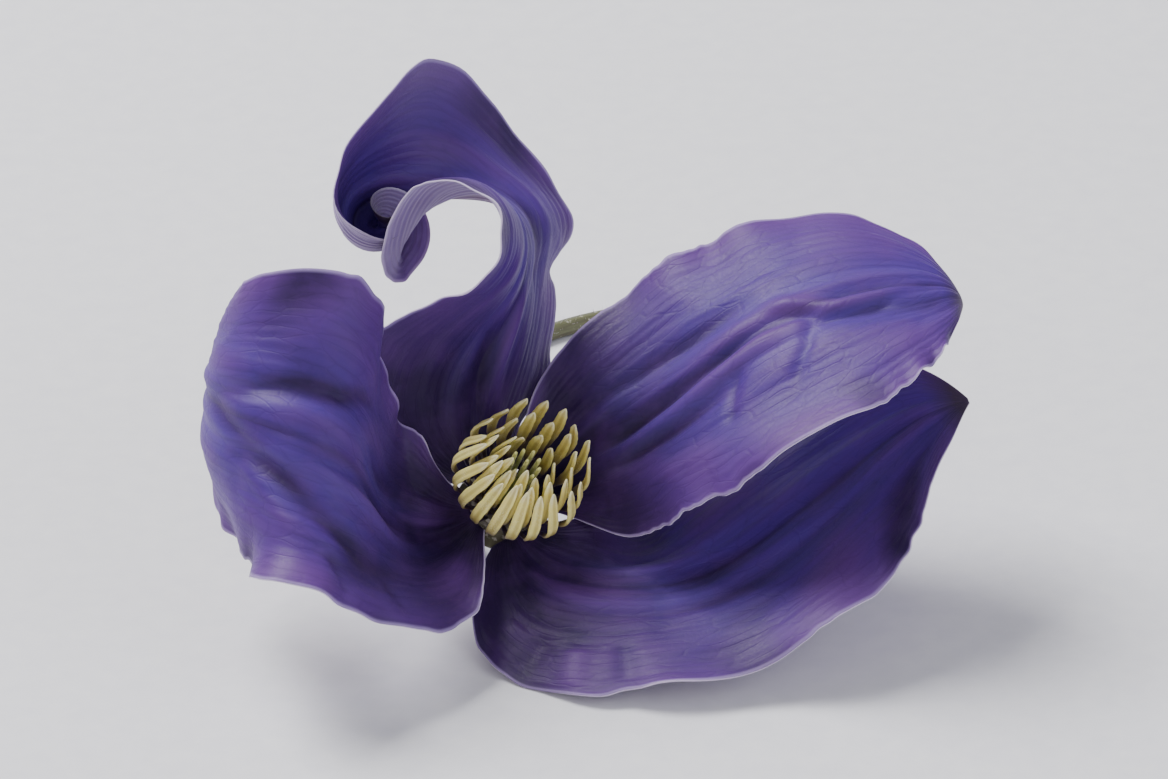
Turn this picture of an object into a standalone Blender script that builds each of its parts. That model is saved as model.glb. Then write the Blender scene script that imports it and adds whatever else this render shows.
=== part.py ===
"""Clematis flower, freshly picked: four tepals, stamens and pistils on one stalk, lying on its side."""
import math
import random

import bpy
import numpy as np

# Sizes are in millimetres here and become metres when a mesh is made. Angles are in degrees.
MM = 0.001
SEED = 20

# The flower's axis runs from the stalk out through the middle of the stamens.
AXIS_TIP = 36.1
AXIS_HEADING = -64.9
AXIS_SPIN = 69.3

TEPAL_THICKNESS = 0.6
TEPAL_BASE_RADIUS = 4.1
TEPAL_ROWS = 21
TEPAL_COLUMNS = 10
TIP_CROWDING = 1.2
MARGIN_THINNING = 0.4
FOLD_REACH = 0.15
RUFFLE_HEIGHT = 0.6
RUFFLE_COUNT = 5
CURL_START = 0.88
MIDRIB_STEPS = 120

WIDTH_STATIONS = (0, 0.1, 0.3, 0.55, 0.78, 0.92, 1)

# incurve bends a tepal towards the stamens, sweep turns it within its face, twist turns it about its midrib.
TEPALS = {
    "tepal_right": {
        "azimuth": 37, "lean": 59, "roll": -3, "length": 58, "tip_curl": 70,
        "incurve": (0, 14, 15, -3, -26, -40),
        "sweep": (0, -9, -11, -3, -5, -14),
        "twist": (0, -12, -22, -26, -29, -32),
        "left": (3.0, 8.3, 14, 17, 15, 8.5, 0.4),
        "right": (3.6, 11, 15.5, 17, 15, 8.5, 0.4),
        "fold": (11, 1, 0), "cup_left": (16, -12, -11), "cup_right": (-3, 4, -5),
    },
    "tepal_upper": {
        "azimuth": 124, "lean": 63, "roll": -21, "length": 63, "tip_curl": 20,
        "incurve": (0, 15, 0, -98, -45, 99),
        "sweep": (0, -39, -50, -68, -24, 171),
        "twist": (0, 19, 62, 36, -57, 18),
        "left": (3.4, 13, 13.5, 14, 10, 6.5, 0.4),
        "right": (3.0, 8, 11.5, 16, 14, 7.5, 0.4),
        "fold": (-8, 6, 34), "cup_left": (-8, -6, 5), "cup_right": (-22, -1, 51),
    },
    "tepal_left": {
        "azimuth": 212, "lean": 103, "roll": -8, "length": 63, "tip_curl": 30,
        "incurve": (0, 61, 65, -14, -67, -101),
        "sweep": (0, -25, -38, -31, -34, -42),
        "twist": (0, -1, -17, -54, -67, -63),
        "left": (3.0, 11.5, 15, 16, 14.5, 8, 0.4),
        "right": (3.4, 10, 13, 19, 13.5, 8.5, 0.4),
        "fold": (30, -4, -4), "cup_left": (32, -19, -19), "cup_right": (18, -1, -3),
    },
    "tepal_lower": {
        "azimuth": 291, "lean": 79, "roll": 18, "length": 61, "tip_curl": 25,
        "incurve": (0, 5, 13, 23, 28, 29),
        "sweep": (0, 55, 92, 103, 97, 81),
        "twist": (0, -15, -23, -21, -19, -15),
        "left": (3.7, 12, 14, 17.5, 15, 8, 0.4),
        "right": (3.0, 12.5, 15.5, 18, 14.5, 8, 0.4),
        "fold": (-1, 2, 18), "cup_left": (4, -1, 0), "cup_right": (-16, -1, 17),
    },
}

# Each ring: how many, the radius at the base, at the widest and at the tip, and the height of the tip.
STAMEN_RINGS = ((19, 3.3, 7.2, 5.8, 12.4), (15, 2.7, 5.6, 4.5, 12.6), (11, 2.0, 3.8, 2.6, 12.0))
STAMEN_WIDEST_AT = 0.45
STAMEN_WIDEST_HEIGHT = 5.8
STAMEN_OPEN_SIDE = 50
STAMEN_OPENING = (1.4, 1.2, 0.7)
STAMEN_OPENING_AT_WIDEST = 0.1
STAMEN_VARIETY = {"widest": (-0.2, 0.2), "tip": (-0.2, 0.25), "height": (-1.2, 0.8), "turn": (-0.16, 0.16)}
STAMEN_STATIONS = (0, 0.2, 0.32, 0.4, 0.65, 0.88, 0.96, 1)
STAMEN_WIDTHS = (0.6, 0.62, 0.68, 1.2, 1.4, 1.15, 0.65, 0.22)
STAMEN_DEPTHS = (0.32, 0.32, 0.34, 0.55, 0.6, 0.5, 0.36, 0.2)
STAMEN_SIDES = 6

PISTIL_RINGS = ((1, 0, 0), (9, 1.15, 1.6))
PISTIL_HEIGHT = 11.4
PISTIL_RING_STEP = 0.6
PISTIL_VARIETY = 0.3
PISTIL_STATIONS = (0, 0.15, 0.5, 0.85, 1)
PISTIL_WIDTHS = (0.5, 0.6, 0.5, 0.5, 0.32)
PISTIL_SIDES = 5

# Height and radius of the swollen stalk end that carries everything, from its crown down to the stalk.
RECEPTACLE = (
    (1.3, 0.35), (1.2, 1.6), (0.9, 2.7), (0.45, 3.4), (-0.2, 3.6),
    (-1.0, 3.7), (-1.4, 5.1), (-1.75, 4.9), (-2.3, 2.4), (-3.4, 1.3),
)
RECEPTACLE_CROWN_ROWS = 5
SEAT_GAP = 0.35

STALK_RADIUS = 1.0
STALK_SIDES = 12
STALK_BEND_RADIUS = 20
STALK_BEND_STEPS = 7
STALK_LYING = 70
STALK_LYING_STEPS = 14
STALK_TURN = -115

MATERIALS = {
    "tepal": ((0.10, 0.06, 0.26), 0.55),
    "stamen": ((0.62, 0.55, 0.22), 0.6),
    "pistil": ((0.34, 0.36, 0.13), 0.6),
    "stalk": ((0.16, 0.15, 0.09), 0.6),
}


def turned(axis, vector, angle):
    """The vector, turned about a unit axis."""
    cosine = math.cos(angle)
    sine = math.sin(angle)
    return vector * cosine + np.cross(axis, vector) * sine + axis * (axis @ vector) * (1 - cosine)


def spline(stations, values, at):
    """A smooth curve through the values at their stations."""
    stations = np.asarray(stations, float)
    values = np.asarray(values, float)
    slopes = np.gradient(values, stations)
    left = np.clip(np.searchsorted(stations, at, side="right") - 1, 0, len(stations) - 2)
    step = stations[left + 1] - stations[left]
    u = (np.asarray(at) - stations[left]) / step
    return (
        (2 * u**3 - 3 * u**2 + 1) * values[left]
        + (u**3 - 2 * u**2 + u) * step * slopes[left]
        + (3 * u**2 - 2 * u**3) * values[left + 1]
        + (u**3 - u**2) * step * slopes[left + 1]
    )


def even(values, at):
    """A smooth curve through values at even stations from base to tip."""
    return spline(np.linspace(0, 1, len(values)), values, at)


def flower_to_world():
    """The turn that lays the flower down: its own axis is Z before it."""
    columns = []
    for column in np.eye(3):
        spun = turned(np.array([0.0, 0, 1]), column, math.radians(AXIS_SPIN))
        tipped = turned(np.array([0.0, 1, 0]), spun, math.radians(AXIS_TIP))
        columns.append(turned(np.array([0.0, 0, 1]), tipped, math.radians(AXIS_HEADING)))
    return np.array(columns).T


def midrib(shape, stations):
    """Point, direction, face normal and side of the midrib at each station."""
    azimuth = math.radians(shape["azimuth"])
    lean = math.radians(shape["lean"])
    outward = np.array([math.cos(azimuth), math.sin(azimuth), 0])
    axis = np.array([0.0, 0, 1])
    along = math.cos(lean) * axis + math.sin(lean) * outward
    face = math.sin(lean) * axis - math.cos(lean) * outward
    side = np.cross(face, along)
    roll = math.radians(shape["roll"])
    side = turned(along, side, roll)
    face = turned(along, face, roll)
    point = TEPAL_BASE_RADIUS * outward
    fine = np.linspace(0, 1, MIDRIB_STEPS + 1)
    curl = np.clip((fine - CURL_START) / (1 - CURL_START), 0, 1) ** 2 * shape["tip_curl"]
    incurve = np.radians(even(shape["incurve"], fine) - curl)
    sweep = np.radians(even(shape["sweep"], fine))
    twist = np.radians(even(shape["twist"], fine))
    step = shape["length"] / (len(fine) - 1)
    rows = [(point, along, face, side)]
    for i in range(1, len(fine)):
        before = along
        bend = incurve[i] - incurve[i - 1]
        along = turned(side, along, -bend)
        face = turned(side, face, -bend)
        swing = sweep[i] - sweep[i - 1]
        along = turned(face, along, swing)
        side = turned(face, side, swing)
        spin = twist[i] - twist[i - 1]
        side = turned(along, side, spin)
        face = turned(along, face, spin)
        middle = before + along
        point = point + middle / np.linalg.norm(middle) * step
        rows.append((point, along, face, side))
    table = np.array(rows)
    nearest = np.clip(np.round(np.asarray(stations) * (len(fine) - 1)).astype(int), 0, len(fine) - 1)
    return table[nearest]


def tepal_surface(shape):
    """The middle surface of a tepal as a grid of points, base to tip and right margin to left."""
    stations = 1 - (1 - np.linspace(0, 1, TEPAL_ROWS)) ** TIP_CROWDING
    frames = midrib(shape, stations)
    half = TEPAL_COLUMNS // 2
    across = np.linspace(0, 1, half + 1)
    grid = np.zeros((TEPAL_ROWS, TEPAL_COLUMNS + 1, 3))
    for side_name, sign in (("left", 1), ("right", -1)):
        width = spline(WIDTH_STATIONS, shape[side_name], stations)
        cup = np.radians(even(shape["cup_" + side_name], stations))
        fold = np.radians(even(shape["fold"], stations))
        for i, (point, _, face, side) in enumerate(frames):
            tilt = fold[i] * np.clip(across / FOLD_REACH, 0, 1) + cup[i] * across
            run = np.concatenate([[0], np.cumsum((np.cos(tilt[1:]) + np.cos(tilt[:-1])) / 2)]) / half
            rise = np.concatenate([[0], np.cumsum((np.sin(tilt[1:]) + np.sin(tilt[:-1])) / 2)]) / half
            wave = math.sin(2 * math.pi * RUFFLE_COUNT * stations[i] + sign)
            lift = rise * width[i] + RUFFLE_HEIGHT * across**3 * wave * math.sin(math.pi * stations[i])
            row = point + np.outer(sign * run * width[i], side) + np.outer(lift, face)
            if sign > 0:
                grid[i, half:] = row
            else:
                grid[i, : half + 1] = row[::-1]
    return grid


def grid_normals(grid):
    """The unit normal at each point of a grid, on the stamens' side."""
    down = np.gradient(grid, axis=0)
    over = np.gradient(grid, axis=1)
    normals = np.cross(down, over)
    return normals / np.linalg.norm(normals, axis=2, keepdims=True)


def shell(grid, thickness):
    """Points and faces of a thin closed sheet with the grid as its middle surface."""
    rows, columns = grid.shape[:2]
    from_middle = np.abs(np.linspace(-1, 1, columns))
    half = thickness / 2 * (1 - MARGIN_THINNING * from_middle**4)
    offset = grid_normals(grid) * half[None, :, None]
    points = np.concatenate([(grid + offset).reshape(-1, 3), (grid - offset).reshape(-1, 3)])
    below = rows * columns

    def at(i, j):
        return i * columns + j

    faces = []
    for i in range(rows - 1):
        for j in range(columns - 1):
            quad = (at(i, j), at(i + 1, j), at(i + 1, j + 1), at(i, j + 1))
            faces.append(quad)
            faces.append(tuple(k + below for k in reversed(quad)))
    edge = [at(i, 0) for i in range(rows)]
    edge += [at(rows - 1, j) for j in range(1, columns)]
    edge += [at(i, columns - 1) for i in range(rows - 2, -1, -1)]
    edge += [at(0, j) for j in range(columns - 2, 0, -1)]
    for start, end in zip(edge, edge[1:] + edge[:1]):
        faces.append((end, start, start + below, end + below))
    return points, faces


def tube(centres, widths, depths, wide_directions, sides):
    """Points and faces of a closed rod with an oval section that changes along it."""
    centres = np.asarray(centres, float)
    tangents = np.gradient(centres, axis=0)
    tangents /= np.linalg.norm(tangents, axis=1, keepdims=True)
    points = []
    for centre, tangent, width, depth, wide in zip(centres, tangents, widths, depths, wide_directions):
        wide = wide - tangent * (wide @ tangent)
        wide = wide / np.linalg.norm(wide)
        deep = np.cross(tangent, wide)
        for k in range(sides):
            angle = 2 * math.pi * (k + 0.5) / sides
            points.append(centre + wide * math.cos(angle) * width / 2 + deep * math.sin(angle) * depth / 2)
    faces = [tuple(reversed(range(sides)))]
    for i in range(len(centres) - 1):
        for k in range(sides):
            after = (k + 1) % sides
            low = i * sides
            high = low + sides
            faces.append((low + k, low + after, high + after, high + k))
    last = (len(centres) - 1) * sides
    faces.append(tuple(range(last, last + sides)))
    return np.array(points), faces


def seat_height(radius):
    """How high above the receptacle's crown line a stamen or pistil starts."""
    heights = [height for height, _ in RECEPTACLE[:RECEPTACLE_CROWN_ROWS]]
    radii = [edge for _, edge in RECEPTACLE[:RECEPTACLE_CROWN_ROWS]]
    return float(np.interp(radius, radii, heights)) + SEAT_GAP


def stamen(azimuth, base, widest, tip, height, drift):
    """One filament with its anther, leaning out and then up."""
    stations = np.array(STAMEN_STATIONS)
    radius = spline((0, STAMEN_WIDEST_AT, 1), (base, widest, tip), stations)
    low = seat_height(base)
    level = spline((0, STAMEN_WIDEST_AT, 1), (low, STAMEN_WIDEST_HEIGHT, height), stations)
    angles = azimuth + drift * stations**2
    centres = np.stack([radius * np.cos(angles), radius * np.sin(angles), level], axis=1)
    wide = np.stack([-np.sin(angles), np.cos(angles), np.zeros(len(angles))], axis=1)
    return tube(centres, STAMEN_WIDTHS, STAMEN_DEPTHS, wide, STAMEN_SIDES)


def stamens(draw):
    """All stamens, ring by ring, more open on one side of the flower."""
    made = []
    for ring, (count, base, widest, tip, height) in enumerate(STAMEN_RINGS):
        spacing = 2 * math.pi / count
        for k in range(count):
            azimuth = spacing * (k + 0.5 * ring)
            opening = STAMEN_OPENING[ring] * math.cos(azimuth - math.radians(STAMEN_OPEN_SIDE))
            made.append(
                stamen(
                    azimuth,
                    base,
                    widest + STAMEN_OPENING_AT_WIDEST * opening + draw.uniform(*STAMEN_VARIETY["widest"]),
                    tip + opening + draw.uniform(*STAMEN_VARIETY["tip"]),
                    height + draw.uniform(*STAMEN_VARIETY["height"]),
                    draw.uniform(*STAMEN_VARIETY["turn"]) * spacing,
                )
            )
    return made


def pistils(draw):
    """All pistils: slender styles that stand together in the middle."""
    made = []
    for ring, (count, base, tip) in enumerate(PISTIL_RINGS):
        for k in range(count):
            azimuth = 2 * math.pi * (k + 0.5 * ring) / count
            outward = np.array([math.cos(azimuth), math.sin(azimuth), 0])
            height = PISTIL_HEIGHT - PISTIL_RING_STEP * ring + draw.uniform(-PISTIL_VARIETY, PISTIL_VARIETY)
            low = seat_height(base)
            centres = [
                outward * (base + (tip - base) * u) + np.array([0, 0, low + (height - low) * u])
                for u in PISTIL_STATIONS
            ]
            wide = [np.array([-outward[1], outward[0], 0])] * len(centres)
            made.append(tube(centres, PISTIL_WIDTHS, PISTIL_WIDTHS, wide, PISTIL_SIDES))
    return made


def stalk(turn, floor):
    """Receptacle and stalk as one rod, down to the floor and then along it."""
    axis = turn @ np.array([0.0, 0, 1])
    centres = [axis * height for height, _ in RECEPTACLE]
    radii = [radius for _, radius in RECEPTACLE]
    point = centres[-1]
    dip = math.asin(axis[2])
    heading = math.atan2(-axis[1], -axis[0])
    drop = point[2] - (floor + STALK_RADIUS)
    straight = (drop - STALK_BEND_RADIUS * (1 - math.cos(dip))) / math.sin(dip)
    point = point - axis * straight
    centres.append(point)
    radii.append(STALK_RADIUS)
    bend = STALK_BEND_RADIUS * dip / STALK_BEND_STEPS
    for k in range(STALK_BEND_STEPS):
        slope = dip * (1 - (k + 0.5) / STALK_BEND_STEPS)
        level = math.cos(slope)
        way = np.array([math.cos(heading) * level, math.sin(heading) * level, -math.sin(slope)])
        point = point + way * bend
        centres.append(point)
        radii.append(STALK_RADIUS)
    turn_step = math.radians(STALK_TURN) / STALK_LYING_STEPS
    for _ in range(STALK_LYING_STEPS):
        heading += turn_step
        point = point + np.array([math.cos(heading), math.sin(heading), 0]) * STALK_LYING / STALK_LYING_STEPS
        centres.append(point)
        radii.append(STALK_RADIUS)
    across = np.cross(axis, np.array([0.0, 0, 1]))
    wide = [across] * (len(RECEPTACLE) + 1 + STALK_BEND_STEPS)
    for k in range(STALK_LYING_STEPS):
        along = centres[len(wide)] - centres[len(wide) - 1]
        wide.append(np.cross(np.array([0.0, 0, 1]), along))
    diameters = [2 * radius for radius in radii]
    return tube(centres, diameters, diameters, wide, STALK_SIDES)


def material(name):
    """A plain material for one kind of piece."""
    colour, roughness = MATERIALS[name]
    made = bpy.data.materials.new(name)
    made.use_nodes = True
    shader = made.node_tree.nodes["Principled BSDF"]
    shader.inputs["Base Color"].default_value = (*colour, 1)
    shader.inputs["Roughness"].default_value = roughness
    return made


def add_piece(name, points, faces, slot):
    """One named object from points in metres."""
    mesh = bpy.data.meshes.new(name)
    mesh.from_pydata([tuple(point) for point in points], [], faces)
    mesh.materials.append(slot)
    for polygon in mesh.polygons:
        polygon.use_smooth = True
    bpy.context.collection.objects.link(bpy.data.objects.new(name, mesh))


def build():
    """Every piece, laid on the floor with the middle of its box over the origin."""
    for item in list(bpy.data.objects):
        bpy.data.objects.remove(item, do_unlink=True)
    draw = random.Random(SEED)
    turn = flower_to_world()
    pieces = []
    for name, shape in TEPALS.items():
        points, faces = shell(tepal_surface(shape), TEPAL_THICKNESS)
        pieces.append((name, points @ turn.T, faces, "tepal"))
    floor = min(points[:, 2].min() for _, points, _, _ in pieces)
    for i, (points, faces) in enumerate(stamens(draw)):
        pieces.append((f"stamen_{i + 1:02d}", points @ turn.T, faces, "stamen"))
    for i, (points, faces) in enumerate(pistils(draw)):
        pieces.append((f"pistil_{i + 1:02d}", points @ turn.T, faces, "pistil"))
    points, faces = stalk(turn, floor)
    pieces.append(("stalk", points, faces, "stalk"))
    everything = np.concatenate([points for _, points, _, _ in pieces])
    low = everything.min(axis=0)
    high = everything.max(axis=0)
    origin = np.array([(low[0] + high[0]) / 2, (low[1] + high[1]) / 2, low[2]])
    slots = {name: material(name) for name in MATERIALS}
    for name, points, faces, slot in pieces:
        add_piece(name, (points - origin) * MM, faces, slots[slot])


build()
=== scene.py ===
"""Clematis flower, freshly picked and lying on a pale table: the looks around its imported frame."""
import math
import random

import bpy
import numpy as np
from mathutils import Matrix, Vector


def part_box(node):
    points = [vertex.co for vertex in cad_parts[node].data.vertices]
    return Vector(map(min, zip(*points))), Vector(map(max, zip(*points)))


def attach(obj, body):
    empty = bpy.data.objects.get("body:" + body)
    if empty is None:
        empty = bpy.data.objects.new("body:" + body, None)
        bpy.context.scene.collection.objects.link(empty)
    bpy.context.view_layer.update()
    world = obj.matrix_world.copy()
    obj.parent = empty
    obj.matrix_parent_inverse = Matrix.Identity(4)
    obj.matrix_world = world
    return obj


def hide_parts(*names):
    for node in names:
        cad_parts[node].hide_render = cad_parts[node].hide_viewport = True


bl_info = {
    "name": "Clematis Flower",
    "version": (1, 0, 0),
    "blender": (4, 5, 0),
    "location": "View3D > Sidebar > Clematis",
    "description": "Builds a picked clematis flower: tepals, stamens, pistils and stalk",
    "category": "Add Mesh",
}

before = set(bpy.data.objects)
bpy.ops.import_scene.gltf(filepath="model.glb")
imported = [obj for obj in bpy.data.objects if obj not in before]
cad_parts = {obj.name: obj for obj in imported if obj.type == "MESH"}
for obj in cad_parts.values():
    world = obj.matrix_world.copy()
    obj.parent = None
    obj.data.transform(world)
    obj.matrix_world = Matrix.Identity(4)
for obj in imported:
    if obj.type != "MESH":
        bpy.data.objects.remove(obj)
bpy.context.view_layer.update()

MM = 0.001
SEED = 20
UP = np.array([0.0, 0.0, 1.0])

# How the flower lies, as in the frame: its axis runs from the stalk through the middle of the stamens.
AXIS_TIP = 36.1
AXIS_HEADING = -64.9
AXIS_SPIN = 69.3

TEPAL_BASE_RADIUS = 4.1
TEPAL_FRAME_ROWS = 21
FOLD_REACH = 0.15
RUFFLE_HEIGHT = 0.6
RUFFLE_COUNT = 5
CURL_START = 0.88
MIDRIB_STEPS = 840
WIDTH_STATIONS = (0, 0.1, 0.3, 0.55, 0.78, 0.92, 1)

# incurve bends a tepal towards the stamens, sweep turns it within its own face and twist turns it about its
# midrib, in degrees from base to tip. left and right are its half widths in millimetres at WIDTH_STATIONS.
TEPALS = {
    "tepal_right": {
        "azimuth": 37, "lean": 59, "roll": -3, "length": 58, "tip_curl": 70,
        "incurve": (0, 14, 15, -3, -26, -40),
        "sweep": (0, -9, -11, -3, -5, -14),
        "twist": (0, -12, -22, -26, -29, -32),
        "left": (3.0, 8.3, 14, 17, 15, 8.5, 0.4),
        "right": (3.6, 11, 15.5, 17, 15, 8.5, 0.4),
        "fold": (11, 1, 0), "cup_left": (16, -12, -11), "cup_right": (-3, 4, -5),
    },
    "tepal_upper": {
        "azimuth": 124, "lean": 63, "roll": -21, "length": 63, "tip_curl": 20,
        "incurve": (0, 15, 0, -98, -45, 99),
        "sweep": (0, -39, -50, -68, -24, 171),
        "twist": (0, 19, 62, 36, -57, 18),
        "left": (3.4, 13, 13.5, 14, 10, 6.5, 0.4),
        "right": (3.0, 8, 11.5, 16, 14, 7.5, 0.4),
        "fold": (-8, 6, 34), "cup_left": (-8, -6, 5), "cup_right": (-22, -1, 51),
    },
    "tepal_left": {
        "azimuth": 212, "lean": 103, "roll": -8, "length": 63, "tip_curl": 30,
        "incurve": (0, 61, 65, -14, -67, -101),
        "sweep": (0, -25, -38, -31, -34, -42),
        "twist": (0, -1, -17, -54, -67, -63),
        "left": (3.0, 11.5, 15, 16, 14.5, 8, 0.4),
        "right": (3.4, 10, 13, 19, 13.5, 8.5, 0.4),
        "fold": (30, -4, -4), "cup_left": (32, -19, -19), "cup_right": (18, -1, -3),
    },
    "tepal_lower": {
        "azimuth": 291, "lean": 79, "roll": 18, "length": 61, "tip_curl": 25,
        "incurve": (0, 5, 13, 23, 28, 29),
        "sweep": (0, 55, 92, 103, 97, 81),
        "twist": (0, -15, -23, -21, -19, -15),
        "left": (3.7, 12, 14, 17.5, 15, 8, 0.4),
        "right": (3.0, 12.5, 15.5, 18, 14.5, 8, 0.4),
        "fold": (-1, 2, 18), "cup_left": (4, -1, 0), "cup_right": (-16, -1, 17),
    },
}

# Ruffles that would reach into the table are pressed up onto it: heights before and after, in millimetres.
SETTLING = ((-0.8, 1.5, 100), (0.05, 1.5, 100))

# Ridges (above 0) and folds (below 0) of single tepals: height and half width in millimetres, then the places
# they pass through, each as the share of the way from base to tip and of the way from midrib to margin.
CREASES = {
    "tepal_right": (
        (0.55, 1.1, (0.1, -0.24), (0.3, -0.18), (0.5, -0.1), (0.62, -0.05)),
        (0.5, 1.1, (0.12, -0.02), (0.34, 0.03), (0.62, 0.12)),
        (-0.6, 1.0, (0.13, -0.12), (0.34, -0.08), (0.58, 0.02)),
        (-0.45, 1.1, (0.14, -0.34), (0.32, -0.32), (0.54, -0.22)),
        (-0.4, 1.2, (0.2, 0.2), (0.4, 0.24), (0.6, 0.34)),
        (0.8, 1.1, (0.56, 0.24), (0.64, 0.05), (0.72, -0.07), (0.8, -0.07), (0.92, 0.0)),
        (-0.55, 0.9, (0.61, 0.04), (0.68, -0.14), (0.77, -0.18), (0.84, -0.14)),
        (-0.35, 0.9, (0.66, -0.06), (0.63, -0.28), (0.56, -0.52)),
        (-0.3, 0.8, (0.5, -0.12), (0.44, -0.55)),
    ),
    "tepal_upper": (
        (-0.6, 1.2, (0.04, -0.22), (0.18, 0.0), (0.34, 0.22)),
        (0.4, 1.0, (0.06, -0.36), (0.24, -0.16), (0.4, 0.0)),
        (0.3, 0.9, (0.3, -0.6), (0.5, -0.55), (0.7, -0.45)),
        (-0.3, 0.8, (0.32, -0.4), (0.52, -0.35), (0.72, -0.25)),
        (0.3, 0.8, (0.12, 0.4), (0.3, 0.5), (0.46, 0.45)),
    ),
    "tepal_left": (
        (-0.8, 1.2, (0.84, -0.04), (0.66, -0.18), (0.5, -0.35), (0.31, -0.8)),
        (0.3, 1.4, (0.76, 0.04), (0.6, -0.06), (0.46, -0.2), (0.3, -0.5)),
        (0.4, 0.8, (0.6, 0.04), (0.36, -0.04), (0.16, -0.1)),
        (-0.35, 0.8, (0.56, 0.12), (0.36, 0.06), (0.18, 0.02)),
        (-0.55, 1.3, (0.8, -0.06), (0.62, 0.2), (0.44, 0.45), (0.3, 0.5)),
        (0.35, 1.0, (0.66, 0.3), (0.5, 0.55), (0.34, 0.62)),
        (-0.3, 0.7, (0.42, 0.62), (0.36, 0.95)),
        (-0.3, 0.7, (0.3, 0.6), (0.26, 0.92)),
    ),
    "tepal_lower": (
        (0.4, 0.9, (0.12, -0.5), (0.1, -0.95)),
        (-0.4, 0.8, (0.16, -0.5), (0.15, -0.98)),
        (0.4, 0.9, (0.2, -0.55), (0.2, -0.98)),
        (-0.4, 0.8, (0.25, -0.5), (0.26, -0.98)),
        (0.3, 1.2, (0.2, 0.2), (0.45, 0.25), (0.75, 0.2)),
        (-0.3, 1.4, (0.3, -0.3), (0.55, -0.25), (0.8, -0.2)),
    ),
}

# The same on all tepals: heights in millimetres, places as shares of the way from midrib to margin.
MIDRIB_DEPTH = 0.25
RIBS = ((0.15, 0.22), (0.4, 0.1), (0.66, 0.07))
RIB_WIDTH = 0.05
FINE_NERVES = 12
FINE_NERVE_HEIGHT = 0.025
DENTS = 7
DENT_HEIGHT = 0.13
PUCKERS = 16
PUCKER_HEIGHT = 0.12
SLOW_RUFFLE_HEIGHT = 0.5
QUICK_RUFFLE_HEIGHT = 0.35
MARGIN_THINNING = 0.6
TIP_THINNING = 0.35
# The relief in millimetres, from the deepest hollow to the highest fold, that the map "hollow" spans. The
# upper face takes painted shade in the hollows and painted light on the folds from this map.
HOLLOW_RANGE = 2.4

# Each ring: how many, the radius at the base, at the widest and at the tip, and the height of the tip.
STAMEN_RINGS = ((19, 3.3, 7.2, 5.8, 12.4), (15, 2.7, 5.6, 4.5, 12.6), (11, 2.0, 3.8, 2.6, 12.0))
STAMEN_WIDEST_AT = 0.45
STAMEN_WIDEST_HEIGHT = 5.8
STAMEN_OPEN_SIDE = 50
STAMEN_OPENING = (1.4, 1.2, 0.7)
STAMEN_OPENING_AT_WIDEST = 0.1
STAMEN_VARIETY = {"widest": (-0.2, 0.2), "tip": (-0.2, 0.25), "height": (-1.2, 0.8), "turn": (-0.16, 0.16)}
STAMEN_ROWS = 44
STAMEN_SIDES = 20
ANTHER_START = 0.34
STAMEN_STATIONS = (0, 0.2, 0.32, 0.4, 0.65, 0.88, 0.96, 1)
STAMEN_WIDTHS = (0.6, 0.62, 0.68, 1.2, 1.4, 1.15, 0.65, 0.22)
STAMEN_DEPTHS = (0.32, 0.32, 0.34, 0.55, 0.6, 0.5, 0.36, 0.2)
STAMEN_SWAY = 0.12
STAMEN_LUMPS = 0.03
SAC_GROOVE = 0.5

PISTIL_RINGS = ((1, 0, 0), (9, 1.15, 1.6))
PISTIL_HEIGHT = 11.4
PISTIL_RING_STEP = 0.6
PISTIL_VARIETY = 0.3
PISTIL_ROWS = 26
PISTIL_SIDES = 12
PISTIL_STATIONS = (0, 0.15, 0.5, 0.85, 1)
PISTIL_WIDTHS = (0.5, 0.6, 0.5, 0.5, 0.32)
STIGMA_SWELLING = 0.25
PISTIL_HAIRS = 26
PISTIL_HAIR_LENGTH = 0.9
HAIR_WIDTH = 0.035

# Height and radius of the swollen stalk end that carries everything, from its crown down to the stalk.
RECEPTACLE = (
    (1.3, 0.35), (1.2, 1.6), (0.9, 2.7), (0.45, 3.4), (-0.2, 3.6),
    (-1.0, 3.7), (-1.4, 5.1), (-1.75, 4.9), (-2.3, 2.4), (-3.4, 1.3),
)
RECEPTACLE_CROWN_ROWS = 5
RECEPTACLE_ROWS = 46
SEAT_GAP = 0.35

STALK_RADIUS = 1.0
STALK_SIDES = 60
STALK_RIBS = 6
STALK_RIB_DEPTH = 0.075
STALK_LUMPS = 0.03
STALK_BEND_RADIUS = 20
STALK_BEND_STEPS = 7
STALK_LYING = 70
STALK_LYING_STEPS = 14
STALK_TURN = -115
# Stalk hairs root at least this high and never reach below the clearance, so none passes through the table.
LOWEST_HAIR_ROOT = 0.4
HAIR_CLEARANCE = 0.05

# Name, place and width in metres, power in watts and colour of each softbox.
LIGHTS = (
    ("key_softbox", (-0.5, 0.35, 0.95), 0.6, 22.0, "#ffffff"),
    ("fill_softbox", (0.85, -0.5, 0.6), 0.9, 5.0, "#eef2ff"),
    ("front_card", (-0.3, -1.0, 0.45), 0.9, 3.0, "#fff8f2"),
)
AIR_COLOUR = "#e9ebf2"
AIR_STRENGTH = 0.45
AIM_HEIGHT = 0.0285


# Shapes ---------------------------------------------------------------------------------------------


def turned(axis, vector, angle):
    """The vector, turned about a unit axis."""
    cosine = math.cos(angle)
    sine = math.sin(angle)
    return vector * cosine + np.cross(axis, vector) * sine + axis * (axis @ vector) * (1 - cosine)


def spline(stations, values, at):
    """A smooth curve through the values at their stations."""
    stations = np.asarray(stations, float)
    values = np.asarray(values, float)
    slopes = np.gradient(values, stations)
    left = np.clip(np.searchsorted(stations, at, side="right") - 1, 0, len(stations) - 2)
    step = stations[left + 1] - stations[left]
    u = (np.asarray(at) - stations[left]) / step
    return (
        (2 * u**3 - 3 * u**2 + 1) * values[left]
        + (u**3 - 2 * u**2 + u) * step * slopes[left]
        + (3 * u**2 - 2 * u**3) * values[left + 1]
        + (u**3 - u**2) * step * slopes[left + 1]
    )


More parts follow.
